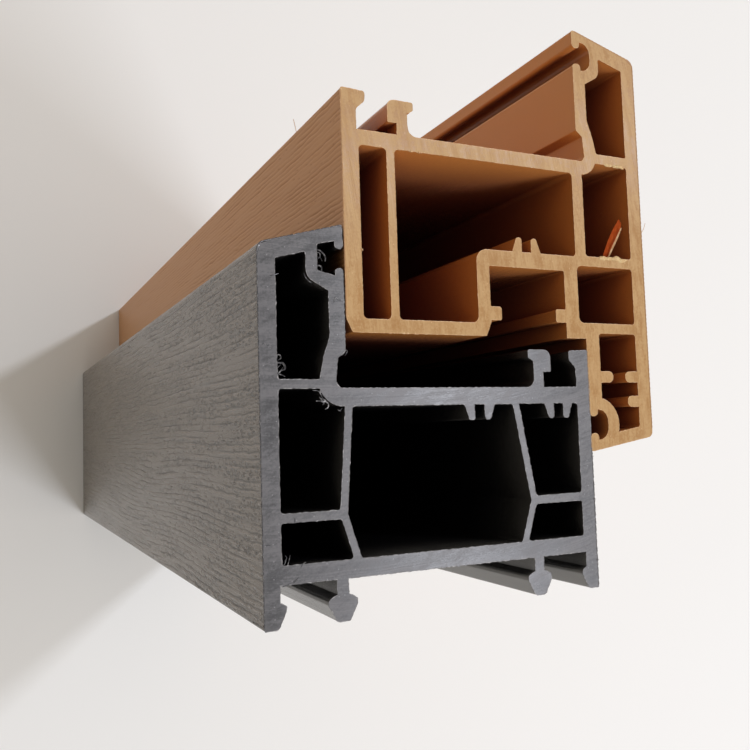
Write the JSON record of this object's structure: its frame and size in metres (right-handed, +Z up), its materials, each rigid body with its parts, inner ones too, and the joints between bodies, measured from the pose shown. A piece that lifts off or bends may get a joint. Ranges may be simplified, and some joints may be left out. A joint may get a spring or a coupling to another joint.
{
  "type": "window frame profile section",
  "caption": "Sawn sample of a casement window: a multi-chamber grey plastic frame profile with the brown sash profile closed into it, both with woodgrain foil on the outdoor face.",
  "frame": {"origin": "middle of the overall section, on the sawn end that it stands on", "axes": "+Z up along the bars from the lower sawn end to the upper one, +X from the outdoor face towards the room, +Y from the frame's clip feet towards the sash's glazing side"},
  "size_m": [0.074, 0.0993, 0.23],
  "materials": {
    "grey_pvc": "through-coloured grey hard plastic with a grey woodgrain foil on its outdoor face",
    "brown_pvc": "through-coloured caramel brown hard plastic with a brown woodgrain foil on its outdoor and room faces"
  },
  "bodies": {
    "root": {"frame_profile": "grey_pvc", "sash_profile": "brown_pvc"}
  },
  "joints": []
}
